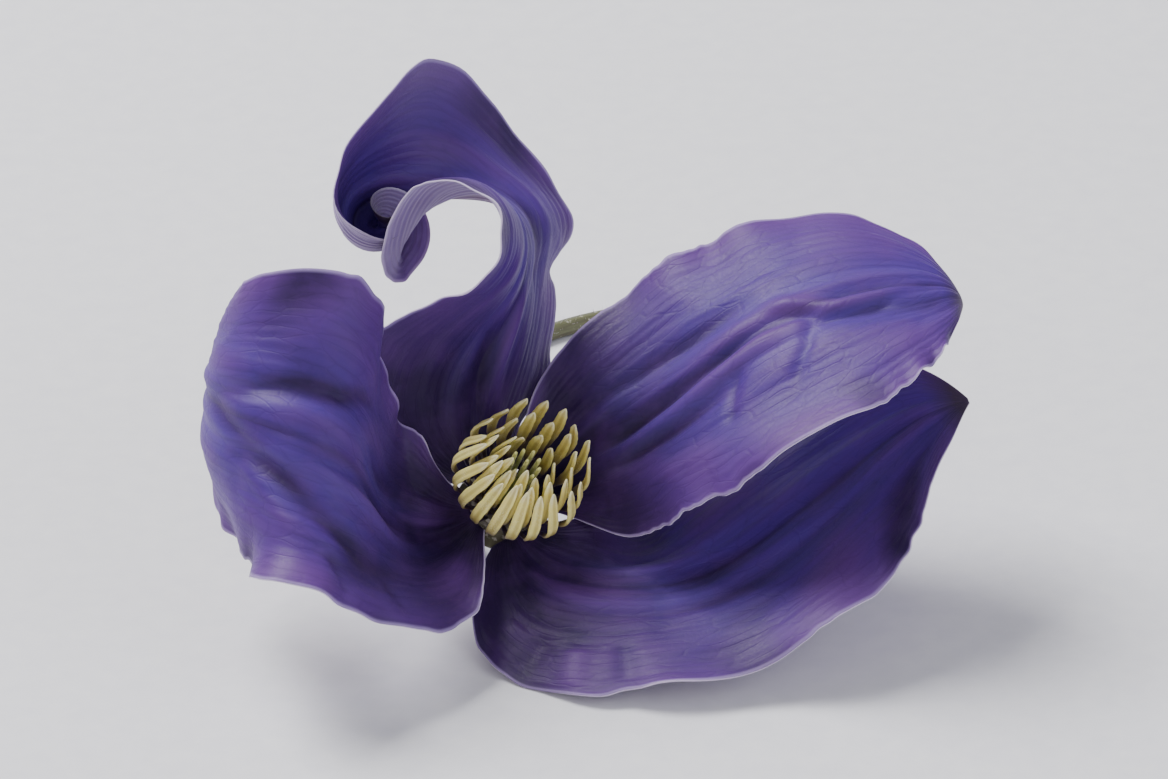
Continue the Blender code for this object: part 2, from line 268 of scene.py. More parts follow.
def even(values, at):
    """A smooth curve through values at even stations from base to tip."""
    return spline(np.linspace(0, 1, len(values)), values, at)


def ease(low, high, value):
    """0 below low, 1 above high and smooth between."""
    u = np.clip((np.asarray(value, float) - low) / (high - low), 0, 1)
    return u * u * (3 - 2 * u)


def bump(centre, width, value):
    """A rounded ridge of height 1 on a line."""
    return np.exp(-(((value - centre) / width) ** 2))


def waviness(draw, at, lowest, highest, count=6):
    """A wandering line between about -1 and 1 that holds waves of those counts over 0 to 1."""
    total = np.zeros_like(at, float)
    for _ in range(count):
        total += np.sin(2 * math.pi * (draw.uniform(lowest, highest) * at + draw.random()))
    return total / math.sqrt(count)


def flower_to_world():
    """The turn that lays the flower down: its own axis is Z before it."""
    columns = []
    for column in np.eye(3):
        spun = turned(UP, column, math.radians(AXIS_SPIN))
        tipped = turned(np.array([0.0, 1, 0]), spun, math.radians(AXIS_TIP))
        columns.append(turned(UP, tipped, math.radians(AXIS_HEADING)))
    return np.array(columns).T


def midrib(shape, stations):
    """Point, direction, face normal and side of the midrib at each station."""
    azimuth = math.radians(shape["azimuth"])
    lean = math.radians(shape["lean"])
    outward = np.array([math.cos(azimuth), math.sin(azimuth), 0])
    along = math.cos(lean) * UP + math.sin(lean) * outward
    face = math.sin(lean) * UP - math.cos(lean) * outward
    side = np.cross(face, along)
    roll = math.radians(shape["roll"])
    side = turned(along, side, roll)
    face = turned(along, face, roll)
    point = TEPAL_BASE_RADIUS * outward
    fine = np.linspace(0, 1, MIDRIB_STEPS + 1)
    curl = np.clip((fine - CURL_START) / (1 - CURL_START), 0, 1) ** 2 * shape["tip_curl"]
    incurve = np.radians(even(shape["incurve"], fine) - curl)
    sweep = np.radians(even(shape["sweep"], fine))
    twist = np.radians(even(shape["twist"], fine))
    step = shape["length"] / MIDRIB_STEPS
    rows = [(point, along, face, side)]
    for i in range(1, len(fine)):
        before = along
        bend = incurve[i] - incurve[i - 1]
        along = turned(side, along, -bend)
        face = turned(side, face, -bend)
        swing = sweep[i] - sweep[i - 1]
        along = turned(face, along, swing)
        side = turned(face, side, swing)
        spin = twist[i] - twist[i - 1]
        side = turned(along, side, spin)
        face = turned(along, face, spin)
        middle = before + along
        point = point + middle / np.linalg.norm(middle) * step
        rows.append((point, along, face, side))
    table = np.array(rows)
    nearest = np.round(np.asarray(stations) * MIDRIB_STEPS).astype(int)
    return table[nearest]


def tepal_grid(shape, stations, columns, margin=None):
    """The plain middle surface of a tepal, base to tip and right margin to left."""
    frames = midrib(shape, stations)
    half = columns // 2
    across = np.linspace(0, 1, half + 1)
    grid = np.zeros((len(stations), columns + 1, 3))
    for side_name, sign in (("left", 1), ("right", -1)):
        width = spline(WIDTH_STATIONS, shape[side_name], stations)
        cup = np.radians(even(shape["cup_" + side_name], stations))
        fold = np.radians(even(shape["fold"], stations))
        for i, (point, _, face, side) in enumerate(frames):
            reach = across
            if margin is not None:
                reach = across * (1 + margin[side_name][i] * ease(0.6, 1, across))
            tilt = fold[i] * np.clip(reach / FOLD_REACH, 0, 1) + cup[i] * reach
            steps = np.diff(reach)
            run = np.concatenate([[0], np.cumsum((np.cos(tilt[1:]) + np.cos(tilt[:-1])) / 2 * steps)])
            rise = np.concatenate([[0], np.cumsum((np.sin(tilt[1:]) + np.sin(tilt[:-1])) / 2 * steps)])
            wave = math.sin(2 * math.pi * RUFFLE_COUNT * stations[i] + sign)
            lift = rise * width[i] + RUFFLE_HEIGHT * across**3 * wave * math.sin(math.pi * stations[i])
            row = point + np.outer(sign * run * width[i], side) + np.outer(lift, face)
            if sign > 0:
                grid[i, half:] = row
            else:
                grid[i, : half + 1] = row[::-1]
    return grid


def grid_normals(grid):
    """The unit normal at each point of a grid, on the stamens' side."""
    down = np.gradient(grid, axis=0)
    over = np.gradient(grid, axis=1)
    normals = np.cross(down, over)
    return normals / np.linalg.norm(normals, axis=2, keepdims=True)


def flower_place(turn):
    """Where the receptacle stands in the frame, in millimetres, read from the tepals' own boxes."""
    shifts = []
    for name, shape in TEPALS.items():
        grid = tepal_grid(shape, np.linspace(0, 1, TEPAL_FRAME_ROWS * 2), 20) @ turn.T
        low, high = (np.array(corner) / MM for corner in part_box(name))
        flat = grid.reshape(-1, 3)
        shifts.append((low + high) / 2 - (flat.min(axis=0) + flat.max(axis=0)) / 2)
    return np.mean(shifts, axis=0)


TURN = flower_to_world()
PLACE = flower_place(TURN)


def crease(grid, along, across, strokes):
    """Height of a tepal's own ridges and folds, each fading out at its two ends."""
    s, t = np.meshgrid(along, across, indexing="ij")
    long = np.linalg.norm(np.diff(grid[:, grid.shape[1] // 2], axis=0), axis=1).sum()
    wide = np.linalg.norm(np.diff(grid[len(grid) // 2], axis=0), axis=1).sum() / 2
    total = np.zeros_like(s)
    for height, width, *places in strokes:
        distance = np.full(s.shape, 1e3)
        share = np.zeros_like(s)
        for k, (start, end) in enumerate(zip(places, places[1:])):
            run = np.array([(end[0] - start[0]) * long, (end[1] - start[1]) * wide])
            from_s = (s - start[0]) * long
            from_t = (t - start[1]) * wide
            u = np.clip((from_s * run[0] + from_t * run[1]) / (run @ run), 0, 1)
            gap = np.hypot(from_s - u * run[0], from_t - u * run[1])
            nearer = gap < distance
            distance = np.where(nearer, gap, distance)
            share = np.where(nearer, (k + u) / (len(places) - 1), share)
        ends = ease(0, 0.25, share) * ease(0, 0.25, 1 - share)
        total += height * np.exp(-((distance / width) ** 2)) * ends
    return total


def relief(draw, along, across):
    """Height of midrib, nerves, dents and ruffles over a tepal's plain surface, in millimetres."""
    s, t = np.meshgrid(along, across, indexing="ij")
    spread = np.abs(t)
    blade = ease(0, 0.12, s) * ease(0, 0.1, 1 - s)
    height = -MIDRIB_DEPTH * bump(0, 0.9 * RIB_WIDTH, t) * blade
    for rib, size in RIBS:
        wander = 0.03 * waviness(draw, s, 1, 3, 3)
        # A rib has a shallow furrow on its outer side.
        height += size * bump(rib, RIB_WIDTH, spread + wander) * blade
        height -= 0.4 * size * bump(rib + 0.09, RIB_WIDTH, spread + wander) * blade
    waves = FINE_NERVES * spread + 0.4 * waviness(draw, s, 1, 3, 3)
    height += FINE_NERVE_HEIGHT * np.sin(2 * math.pi * waves) * blade
    for _ in range(DENTS):
        # Shallow dents and swellings that a soft blade takes on between its nerves.
        lean = draw.uniform(-1.6, 1.6)
        pitch = draw.uniform(1.0, 3.0)
        phase = draw.uniform(0, 2 * math.pi)
        height += DENT_HEIGHT * np.sin(2 * math.pi * (pitch * s + lean * t) + phase) * blade
    for _ in range(PUCKERS):
        # Short faint puckers that run out from a nerve towards the margin.
        middle = draw.uniform(0.15, 0.92)
        out = draw.uniform(0.35, 0.95) * draw.choice((-1, 1))
        size = draw.uniform(-PUCKER_HEIGHT, PUCKER_HEIGHT)
        slope = draw.uniform(-0.35, 0.35)
        height += size * bump(middle, 0.022, s + slope * (t - out)) * bump(out, 0.22, t) * blade
    for side in (-1, 1):
        edge = np.clip(t * side, 0, 1)
        slow = waviness(draw, s, 2, 6)
        quick = waviness(draw, s, 9, 17) * ease(-0.2, 1, waviness(draw, s, 1, 3, 3))
        height += (SLOW_RUFFLE_HEIGHT * slow * edge**4 + QUICK_RUFFLE_HEIGHT * quick * edge**10) * blade
    return height


def margin_teeth(draw, along):
    """How far each margin stands out or in, as a share of the half width: smooth runs and uneven ones."""
    teeth = {}
    for side in ("left", "right"):
        uneven = ease(-0.6, 0.9, waviness(draw, along, 1.5, 4, 3))
        teeth[side] = 0.008 * waviness(draw, along, 3, 7) + uneven * (
            0.014 * waviness(draw, along, 9, 15) + 0.007 * waviness(draw, along, 22, 38)
        )
    return teeth


def tepal_mesh(name, shape, draw, sizes):
    """Points, faces, the faces' material slots and the surface maps of one tepal."""
    rows, columns = sizes.rows, sizes.columns
    along = np.linspace(0, 1, rows)
    across = np.linspace(-1, 1, columns + 1)
    grid = tepal_grid(shape, along, columns, margin_teeth(draw, along))
    height = (relief(draw, along, across) + crease(grid, along, across, CREASES[name])) * sizes.relief
    grid = grid + grid_normals(grid) * height[:, :, None]
    normals = grid_normals(grid)
    half = sizes.thickness / MM / 2 * (1 - MARGIN_THINNING * np.abs(across) ** 3)
    half = np.outer(1 - TIP_THINNING * ease(0.2, 1, along), half)[:, :, None]
    points = np.concatenate([(grid + normals * half).reshape(-1, 3), (grid - normals * half).reshape(-1, 3)])
    count = rows * (columns + 1)
    index = np.arange(count).reshape(rows, columns + 1)
    upper = np.stack([index[:-1, :-1], index[1:, :-1], index[1:, 1:], index[:-1, 1:]], axis=-1).reshape(-1, 4)
    lower = upper[:, ::-1] + count
    edge = np.concatenate([index[:, 0], index[-1, 1:], index[-2::-1, -1], index[0, -2:0:-1]])
    after = np.roll(edge, -1)
    rim = np.stack([after, edge, edge + count, after + count], axis=-1)
    faces = np.concatenate([upper, lower, rim])
    slots = np.concatenate([np.zeros(len(upper)), np.ones(len(lower) + len(rim))]).astype(int)
    s, t = np.meshgrid(along, across, indexing="ij")
    blade = np.stack([(t + 1) / 2, s], axis=-1).reshape(-1, 2)
    hollow = np.stack([0.5 + height / HOLLOW_RANGE, s], axis=-1).reshape(-1, 2)
    return points, faces, slots, {"blade": np.tile(blade, (2, 1)), "hollow": np.tile(hollow, (2, 1))}


def rod(centres, wide_directions, radii_at, sides):
    """Points and faces of a closed rod whose section is given by radii_at(row, angles) as two half sizes."""
    centres = np.asarray(centres, float)
    tangents = np.gradient(centres, axis=0)
    tangents /= np.linalg.norm(tangents, axis=1, keepdims=True)
    wide = wide_directions - tangents * np.sum(wide_directions * tangents, axis=1, keepdims=True)
    wide /= np.linalg.norm(wide, axis=1, keepdims=True)
    deep = np.cross(tangents, wide)
    angles = 2 * math.pi * (np.arange(sides) + 0.5) / sides
    points = []
    for i, centre in enumerate(centres):
        across, through = radii_at(i, angles)
        points.append(centre + np.outer(across, wide[i]) + np.outer(through, deep[i]))
    points = np.concatenate(points)
    faces = [tuple(range(sides - 1, -1, -1))]
    for i in range(len(centres) - 1):
        for k in range(sides):
            after = (k + 1) % sides
            low = i * sides
            faces.append((low + k, low + after, low + after + sides, low + k + sides))
    last = (len(centres) - 1) * sides
    faces.append(tuple(range(last, last + sides)))
    length = np.repeat(np.linspace(0, 1, len(centres)), sides)
    around = np.tile(np.arange(sides) / sides, len(centres))
    return points, faces, np.stack([around, length], axis=1)


def seat_height(radius):
    """How high above the receptacle's crown line a stamen or pistil starts."""
    heights = [height for height, _ in RECEPTACLE[:RECEPTACLE_CROWN_ROWS]]
    radii = [edge for _, edge in RECEPTACLE[:RECEPTACLE_CROWN_ROWS]]
    return float(np.interp(radius, radii, heights)) + SEAT_GAP


def stamen_mesh(azimuth, base, widest, tip, height, drift, draw):
    """One flat filament that carries a long anther of two pollen sacs."""
    rows = np.linspace(0, 1, STAMEN_ROWS)
    radius = spline((0, STAMEN_WIDEST_AT, 1), (base, widest, tip), rows)
    level = spline((0, STAMEN_WIDEST_AT, 1), (seat_height(base), STAMEN_WIDEST_HEIGHT, height), rows)
    angles = azimuth + drift * rows**2
    centres = np.stack([radius * np.cos(angles), radius * np.sin(angles), level], axis=1)
    tangential = np.stack([-np.sin(angles), np.cos(angles), np.zeros(STAMEN_ROWS)], axis=1)
    sway = STAMEN_SWAY * waviness(draw, rows, 0.3, 1.0, 3) * ease(0.2, 0.9, rows)
    centres += tangential * sway[:, None]
    widths = np.interp(rows, STAMEN_STATIONS, STAMEN_WIDTHS) / 2
    depths = np.interp(rows, STAMEN_STATIONS, STAMEN_DEPTHS) / 2
    sac = ease(ANTHER_START, ANTHER_START + 0.06, rows) * ease(0, 0.05, 1 - rows)
    lumps = 1 + STAMEN_LUMPS * waviness(draw, rows, 4, 10)

    def section(i, around):
        # The anther's section is two round sacs side by side, with a groove in front and behind.
        groove = 1 - SAC_GROOVE * sac[i] * np.abs(np.sin(around)) ** 8
        return widths[i] * np.cos(around) * lumps[i], depths[i] * np.sin(around) * groove

    return rod(centres, tangential, section, STAMEN_SIDES)


def all_stamens():
    """The mesh parts of every stamen, ring by ring, and the draws that go on with the pistils."""
    draw = random.Random(SEED)
    detail = random.Random(SEED + 1)
    made = []
    for ring, (count, base, widest, tip, height) in enumerate(STAMEN_RINGS):
        spacing = 2 * math.pi / count
        for k in range(count):
            azimuth = spacing * (k + 0.5 * ring)
            # The tuft is more open on one side of the flower.
            opening = STAMEN_OPENING[ring] * math.cos(azimuth - math.radians(STAMEN_OPEN_SIDE))
            wide = widest + STAMEN_OPENING_AT_WIDEST * opening + draw.uniform(*STAMEN_VARIETY["widest"])
            end = tip + opening + draw.uniform(*STAMEN_VARIETY["tip"])
            high = height + draw.uniform(*STAMEN_VARIETY["height"])
            drift = draw.uniform(*STAMEN_VARIETY["turn"]) * spacing
            made.append(stamen_mesh(azimuth, base, wide, end, high, drift, detail))
    return made, draw


def all_pistils(draw):
    """The mesh parts, centre line and widths of every pistil: slender styles that stand together."""
    made = []
    rows = np.linspace(0, 1, PISTIL_ROWS)
    for ring, (count, base, tip) in enumerate(PISTIL_RINGS):
        for k in range(count):
            azimuth = 2 * math.pi * (k + 0.5 * ring) / count
            outward = np.array([math.cos(azimuth), math.sin(azimuth), 0])
            height = PISTIL_HEIGHT - PISTIL_RING_STEP * ring + draw.uniform(-PISTIL_VARIETY, PISTIL_VARIETY)
            low = seat_height(base)
            centres = np.outer(base + (tip - base) * rows, outward)
            centres += np.outer(low + (height - low) * rows, UP)
            widths = spline(PISTIL_STATIONS, PISTIL_WIDTHS, rows) / 2

            def section(i, around):
                knob = 1 + STIGMA_SWELLING * float(bump(0.95, 0.05, rows[i]))
                return widths[i] * knob * np.cos(around), widths[i] * knob * np.sin(around)

            wide = np.tile(np.array([-outward[1], outward[0], 0.0]), (PISTIL_ROWS, 1))
            points, faces, blade = rod(centres, wide, section, PISTIL_SIDES)
            made.append((points, faces, blade, centres, widths))
    return made


def stalk_route():
    """Centres, radii and level directions of receptacle and stalk, in world millimetres."""
    axis = TURN @ UP
    centres = [axis * height for height, _ in RECEPTACLE]
    radii = [radius for _, radius in RECEPTACLE]
    point = centres[-1]
    dip = math.asin(axis[2])
    heading = math.atan2(-axis[1], -axis[0])
    drop = point[2] + PLACE[2] - STALK_RADIUS
    straight = (drop - STALK_BEND_RADIUS * (1 - math.cos(dip))) / math.sin(dip)
    point = point - axis * straight
    centres.append(point)
    radii.append(STALK_RADIUS)
    bend = STALK_BEND_RADIUS * dip / STALK_BEND_STEPS
    for k in range(STALK_BEND_STEPS):
        slope = dip * (1 - (k + 0.5) / STALK_BEND_STEPS)
        level = math.cos(slope)
        way = np.array([math.cos(heading) * level, math.sin(heading) * level, -math.sin(slope)])
        point = point + way * bend
        centres.append(point)
        radii.append(STALK_RADIUS)
    turn_step = math.radians(STALK_TURN) / STALK_LYING_STEPS
    for _ in range(STALK_LYING_STEPS):
        heading += turn_step
        point = point + np.array([math.cos(heading), math.sin(heading), 0]) * STALK_LYING / STALK_LYING_STEPS
        centres.append(point)
        radii.append(STALK_RADIUS)
    return np.array(centres) + PLACE, np.array(radii)


def stalk_mesh(draw, sizes):
    """Receptacle and ribbed stalk as one rod, and the share of it that is receptacle."""
    centres, radii = stalk_route()
    spans = np.linalg.norm(np.diff(centres, axis=0), axis=1)
    lengths = np.concatenate([[0], np.cumsum(spans)])
    crown = lengths[len(RECEPTACLE) - 1]
    above = np.linspace(0, crown, RECEPTACLE_ROWS)[:-1]
    rows = np.concatenate([above, np.linspace(crown, lengths[-1], sizes.rows)])
    path = np.stack([spline(lengths, centres[:, k], rows) for k in range(3)], axis=1)
    radius = np.clip(spline(lengths, radii, rows), 0.3, None)
    radius *= 1 + STALK_LUMPS * waviness(draw, rows / lengths[-1], 3, 9) * ease(crown, crown + 4, rows)
    tangents = np.gradient(path, axis=0)
    level = np.cross(UP, tangents)
    ribbed = ease(crown * 0.7, crown + 6, rows)
    twist = 0.5 * np.sin(rows / 30)

    def section(i, around):
        furrow = (0.5 - 0.5 * np.cos(STALK_RIBS * (around + twist[i]))) ** 1.5
        size = radius[i] * (1 - STALK_RIB_DEPTH * ribbed[i] * furrow)
        return size * np.cos(around), size * np.sin(around)

    points, faces, blade = rod(path, level, section, STALK_SIDES)
    blade[:, 1] = np.repeat(rows, STALK_SIDES) / lengths[-1]
    return points, faces, blade, crown / lengths[-1]


def hair_mesh(roots, directions, length, width, draw):
    """Tapered three-sided hairs, each on its root and curving a little to one side."""
    points = []
    faces = []
    for root, way in zip(roots, directions):
        way = way / np.linalg.norm(way)
        side = np.cross(way, np.array([draw.uniform(-1, 1), draw.uniform(-1, 1), draw.uniform(-1, 1)]))
        side = side / (np.linalg.norm(side) + 1e-9)
        other = np.cross(way, side)
        long = length * draw.uniform(0.6, 1.25)
        bow = side * long * draw.uniform(-0.25, 0.25)
        start = len(points)
        for share, thick in ((0.0, 1.0), (0.5, 0.75)):
            centre = root + way * long * share + bow * share**2
            for k in range(3):
                angle = 2 * math.pi * k / 3
                out = side * math.cos(angle) + other * math.sin(angle)
                points.append(centre + out * width / 2 * thick)
        points.append(root + way * long + bow)
        faces.append((start + 2, start + 1, start))
        for k in range(3):
            after = (k + 1) % 3
            faces.append((start + k, start + after, start + 3 + after, start + 3 + k))
            faces.append((start + 3 + k, start + 3 + after, start + 6))
    return np.array(points), faces


# Making pieces --------------------------------------------------------------------------------------


def add_piece(name, points, faces, materials, slots=None, maps=None):
    """One named object from points in millimetres, riding on the flower."""
    mesh = bpy.data.meshes.new(name)
    mesh.from_pydata((np.asarray(points) * MM).tolist(), [], [tuple(int(k) for k in face) for face in faces])
    for material in materials:
        mesh.materials.append(material)
    if slots is not None:
        mesh.polygons.foreach_set("material_index", slots)
    corners = np.zeros(len(mesh.loops), int)
    mesh.loops.foreach_get("vertex_index", corners)
    for layer_name, places in (maps or {}).items():
        layer = mesh.uv_layers.new(name=layer_name)
        layer.data.foreach_set("uv", places[corners].ravel())
    mesh.shade_smooth()
    piece = bpy.data.objects.new(name, mesh)
    bpy.context.collection.objects.link(piece)
    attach(piece, "root")
    return piece


def placed(points):
    """Flower millimetres to world millimetres."""
    return np.asarray(points) @ TURN.T + PLACE


# Materials ------------------------------------------------------------------------------------------

RAMP = "ShaderNodeValToRGB"
MIX = "ShaderNodeMix"
MATH = "ShaderNodeMath"
NOISE = "ShaderNodeTexNoise"
BUMP = "ShaderNodeBump"
UV_MAP = "ShaderNodeUVMap"
SPLIT = "ShaderNodeSeparateXYZ"
RANGE = "ShaderNodeMapRange"
MAPPING = "ShaderNodeMapping"
VECTOR_MATH = "ShaderNodeVectorMath"
VORONOI = "ShaderNodeTexVoronoi"
PRINCIPLED = "ShaderNodeBsdfPrincipled"


def linear(colour):
    """An sRGB hex colour as linear red, green, blue and alpha."""
    channels = [int(colour[i : i + 2], 16) / 255 for i in (1, 3, 5)]
    return (*[c / 12.92 if c <= 0.04045 else ((c + 0.055) / 1.055) ** 2.4 for c in channels], 1.0)


def add(tree, kind, inputs, stops=(), **settings):
    """A node of that kind with its settings, its inputs by name or number, and its ramp's stops.

    An input is given a value, a socket, or a node whose first output in use is linked. A stop is a
    position with a colour or a grey.
    """
    made = tree.nodes.new(kind)
    for key, value in settings.items():
        setattr(made, key, value)
    for _ in stops[2:]:
        made.color_ramp.elements.new(0.5)
    for k, (position, colour) in enumerate(stops):
        made.color_ramp.elements[k].position = position
        grey = isinstance(colour, float)
        made.color_ramp.elements[k].color = (colour, colour, colour, 1) if grey else colour
    for key, value in inputs.items():
        socket = made.inputs[key]
        if isinstance(key, str):
            socket = next(one for one in made.inputs if one.name == key and one.enabled)
        if isinstance(value, bpy.types.Node):
            value = next(one for one in value.outputs if one.enabled)
        if isinstance(value, bpy.types.NodeSocket):
            tree.links.new(value, socket)
        else:
            socket.default_value = value
    return made


def new_material(name):
    """An empty material, its node tree and the object's own coordinates."""
    made = bpy.data.materials.new(name)
    made.use_nodes = True
    made.node_tree.nodes.clear()
    return made, made.node_tree, add(made.node_tree, "ShaderNodeTexCoord", {}).outputs["Object"]


def blade_coordinates(tree):
    """A piece's own coordinates: both, then across it and along it."""
    both = add(tree, UV_MAP, {}, uv_map="blade")
    split = add(tree, SPLIT, {"Vector": both})
    return both, split.outputs["X"], split.outputs["Y"]


def spread_from_midrib(tree, across):
    """How far out from the midrib a place lies, from 0 to 1 at the margin."""
    signed = add(tree, MATH, {0: across, 1: 2.0, 2: -1.0}, operation="MULTIPLY_ADD")
    return add(tree, MATH, {0: signed}, operation="ABSOLUTE")


def nerves(tree, coordinates, place):
    """Fine nerves that run from base to tip, and the net of small veins between them."""
    # The nerves stand a good millimetre apart and wander over some 8 mm. The net's meshes are about 1.3 mm
    # wide and 4 mm long.
    wander = add(tree, NOISE, {"Vector": place, "Scale": 0.13 / MM, "Detail": 2.0})
    stretched = add(tree, MAPPING, {"Vector": coordinates, "Scale": (1.0, 0.04, 1.0)})
    shift = add(tree, MATH, {0: wander, 1: 0.03}, operation="MULTIPLY")
    shifted = add(tree, VECTOR_MATH, {0: stretched, 1: shift}, operation="ADD")
    inputs = {"Vector": shifted, "Scale": 9.0, "Distortion": 0.6, "Detail": 2.0}
    lines = add(tree, "ShaderNodeTexWave", inputs)
    cells = add(tree, MAPPING, {"Vector": coordinates, "Scale": (26.0, 15.0, 1.0)})
    pull = add(tree, MATH, {0: wander, 1: 1.4}, operation="MULTIPLY")
    pulled = add(tree, VECTOR_MATH, {0: cells, 1: pull}, operation="ADD")
    net = add(tree, VORONOI, {"Vector": pulled, "Scale": 1.0}, feature="DISTANCE_TO_EDGE")
    return lines.outputs["Fac"], add(tree, RAMP, {"Fac": net}, ((0.0, 1.0), (0.09, 0.0)))


def upper_face(colours):
    """Clematis tepal, upper face: living tissue inked with anthocyanin, velvety with minute rounded cells,
    with painted shade in the throat, the hollows and the midrib furrow and painted light on the ribs and
    folds.
    """
    made, tree, place = new_material("clematis_tepal_velvety_upper_face")
    coordinates, across, along = blade_coordinates(tree)
    spread = spread_from_midrib(tree, across)
    lines, net = nerves(tree, coordinates, place)
    # Painted shade: colour runs from near black violet in the throat, darkened for the shade among the
    # stamens, through a shaded lower part to a lighter violet-blue blade.
    stops = ((0.0, colours.throat_shade), (0.16, colours.shade), (0.42, colours.blade), (1.0, colours.blade_tip))
    body = add(tree, RAMP, {"Fac": along}, stops)
    # The blade turns redder and paler towards its margins.
    outer = add(tree, RAMP, {"Fac": spread}, ((0.35, 0.0), (0.75, 0.45), (1.0, 1.0)))
    beyond_throat = add(tree, RAMP, {"Fac": along}, ((0.1, 0.2), (0.5, 1.0)))
    # Painted light and shade: folds that stand up are painted redder and paler, as light shining through
    # them, and the hollows between them are painted darker, as shade.
    hollow = add(tree, SPLIT, {"Vector": add(tree, UV_MAP, {}, uv_map="hollow")})
    painted_fold_light = add(tree, RAMP, {"Fac": hollow}, ((0.54, 0.0), (0.8, 0.75)))
    painted_hollow_shade = add(tree, RAMP, {"Fac": hollow}, ((0.2, 0.9), (0.46, 0.0)))
    # Painted highlight on the two ribs beside the midrib, and painted shade along the midrib's furrow.
    stops = ((0.0, 0.0), (0.09, 0.0), (0.17, 0.8), (0.22, 0.8), (0.3, 0.0))
    rib = add(tree, RAMP, {"Fac": spread}, stops)
    rib_highlight_fade = add(tree, RAMP, {"Fac": along}, ((0.08, 0.0), (0.35, 0.55), (0.8, 0.5), (0.97, 0.0)))
    furrow = add(tree, RAMP, {"Fac": spread}, ((0.0, 0.55), (0.05, 0.0)))
    # Nerves show darker, and the net between them is faint.
    nerve = add(tree, RAMP, {"Fac": lines}, ((0.55, 0.0), (0.95, 1.0)))
    # Cloudy patches some 6 mm wide, where the blade is paler or has bruised.
    cloud = add(tree, NOISE, {"Vector": place, "Scale": 0.17 / MM, "Detail": 4.0, "Roughness": 0.6})
    cloudy = add(tree, RAMP, {"Fac": cloud}, ((0.42, 0.0), (0.68, 0.6)))
    # A thin pale line runs round the margin, and the very point dries to a dull brown violet.
    margin_line = add(tree, RAMP, {"Fac": spread}, ((0.968, 0.0), (0.99, 0.6)))
    point = add(tree, RAMP, {"Fac": along}, ((0.93, 0.0), (0.975, 0.9)))
    layers = (
        (add(tree, MATH, {0: outer, 1: beyond_throat}, operation="MULTIPLY"), colours.margin),
        (painted_fold_light, colours.margin),
        (painted_hollow_shade, colours.shade),
        (add(tree, MATH, {0: rib, 1: rib_highlight_fade}, operation="MULTIPLY"), colours.rib),
        (furrow, colours.shade),
        (add(tree, MATH, {0: nerve, 1: 0.1}, operation="MULTIPLY"), colours.shade),
        (add(tree, MATH, {0: net, 1: 0.1}, operation="MULTIPLY"), colours.shade),
        (add(tree, MATH, {0: cloudy, 1: 0.5}, operation="MULTIPLY"), colours.margin),
        (margin_line, colours.edge),
        (point, colours.dry),
    )
    for factor, colour in layers:
        body = add(tree, MIX, {"Factor": factor, "A": body, "B": colour}, data_type="RGBA")
    # Rounded cells, drawn about 0.25 mm wide so that they show.
    cell = add(tree, NOISE, {"Vector": place, "Scale": 3.6 / MM, "Detail": 1.0})
    relief = add(tree, BUMP, {"Height": cell, "Strength": 0.25, "Distance": 0.06 * MM})
    relief = add(tree, BUMP, {"Height": lines, "Strength": 0.2, "Distance": 0.1 * MM, "Normal": relief})
    sockets = {"Height": net, "Strength": 0.25, "Distance": 0.08 * MM, "Normal": relief}
    relief = add(tree, BUMP, sockets, invert=True)
    sockets = {
        "Base Color": body,
        "Roughness": add(tree, RANGE, {"Value": cell, "To Min": 0.42, "To Max": 0.62}),
        "Normal": relief,
        "IOR": 1.42,
        "Specular IOR Level": 0.35,
        "Sheen Weight": 0.14,
        "Sheen Roughness": 0.4,
        "Sheen Tint": linear("#a58be0"),
        "Subsurface Weight": 0.12,
        "Subsurface Radius": (0.6, 0.25, 1.0),
        "Subsurface Scale": 0.8 * MM,
    }
    add(tree, "ShaderNodeOutputMaterial", {"Surface": add(tree, PRINCIPLED, sockets)})
    return made


